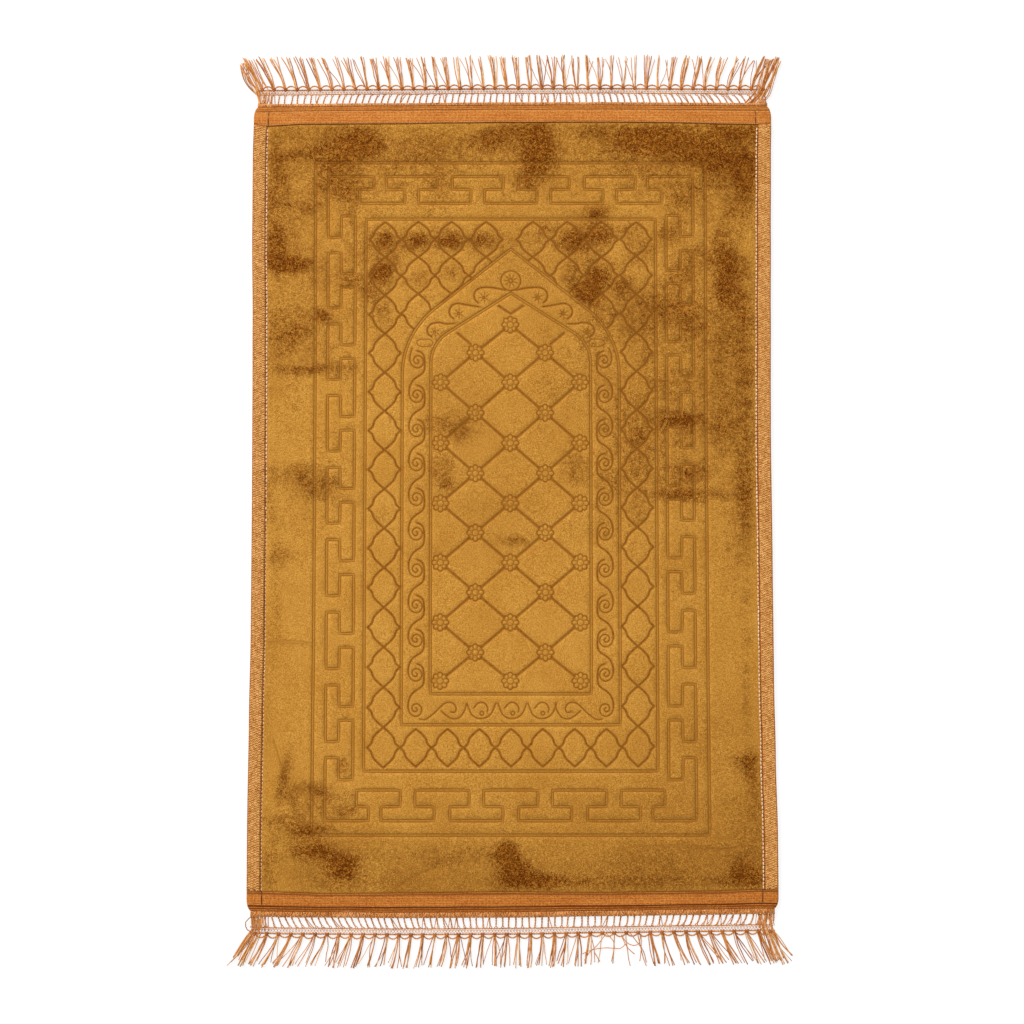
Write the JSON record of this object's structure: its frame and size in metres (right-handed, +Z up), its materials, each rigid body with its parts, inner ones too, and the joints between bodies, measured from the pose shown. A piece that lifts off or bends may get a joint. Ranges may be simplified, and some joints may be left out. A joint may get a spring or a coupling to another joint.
{
  "type": "prayer rug",
  "caption": "Flat embossed velvet prayer rug with a pointed arch, a key fret border, bound edges and a knotted yarn fringe at each end.",
  "frame": {"origin": "middle of the whole object, fringes included, on the surface it lies on", "axes": "+X across the rug, +Y along it towards the pointed arch, +Z up through the pile"},
  "size_m": [0.686, 1.134, 0.0044],
  "materials": {
    "velvet": "mustard gold plush with brushed darker patches",
    "side_knit": "gold knitted tape with rust flecks",
    "end_tape": "plain woven orange tape",
    "fringe_yarn": "orange tan twisted yarn"
  },
  "bodies": {
    "root": {"velvet_body": "velvet", "side_binding_left": "side_knit", "side_binding_right": "side_knit", "end_tape_top": "end_tape", "end_tape_bottom": "end_tape", "fringe_top": "fringe_yarn", "fringe_bottom": "fringe_yarn"}
  },
  "joints": []
}
